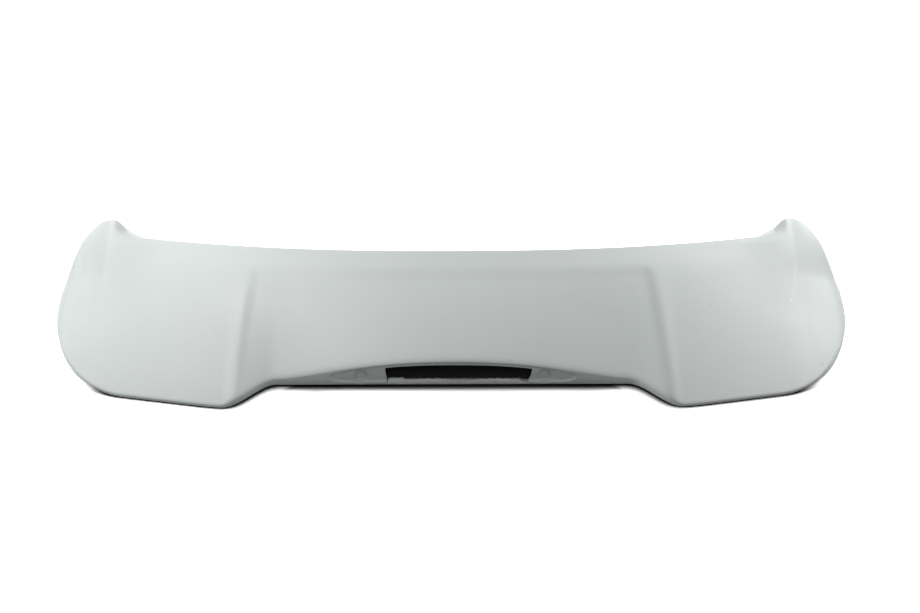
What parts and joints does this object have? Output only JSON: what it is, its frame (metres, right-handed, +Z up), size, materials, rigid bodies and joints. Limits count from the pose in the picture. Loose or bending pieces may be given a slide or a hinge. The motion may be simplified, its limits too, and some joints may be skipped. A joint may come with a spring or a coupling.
{
  "type": "car roof spoiler",
  "caption": "Rear roof spoiler for a hatchback: a primed blow-moulded hollow wing with turned-down ends, a cut lamp opening in its rear face and threaded inserts below",
  "frame": {"origin": "middle of the box in plan, on the surface that the part rests on", "axes": "+X across the car to the right seen from behind, +Y forwards to the roof edge, +Z up"},
  "size_m": [1.24, 0.357, 0.0874],
  "materials": {
    "primed_shell": "blow-moulded plastic in smooth light grey primer, satin to matte",
    "insert_brass": "turned brass, bare"
  },
  "bodies": {
    "root": {"shell": "primed_shell", "insert_left_outer": "insert_brass", "insert_left_inner": "insert_brass", "insert_right_inner": "insert_brass", "insert_right_outer": "insert_brass"}
  },
  "joints": []
}
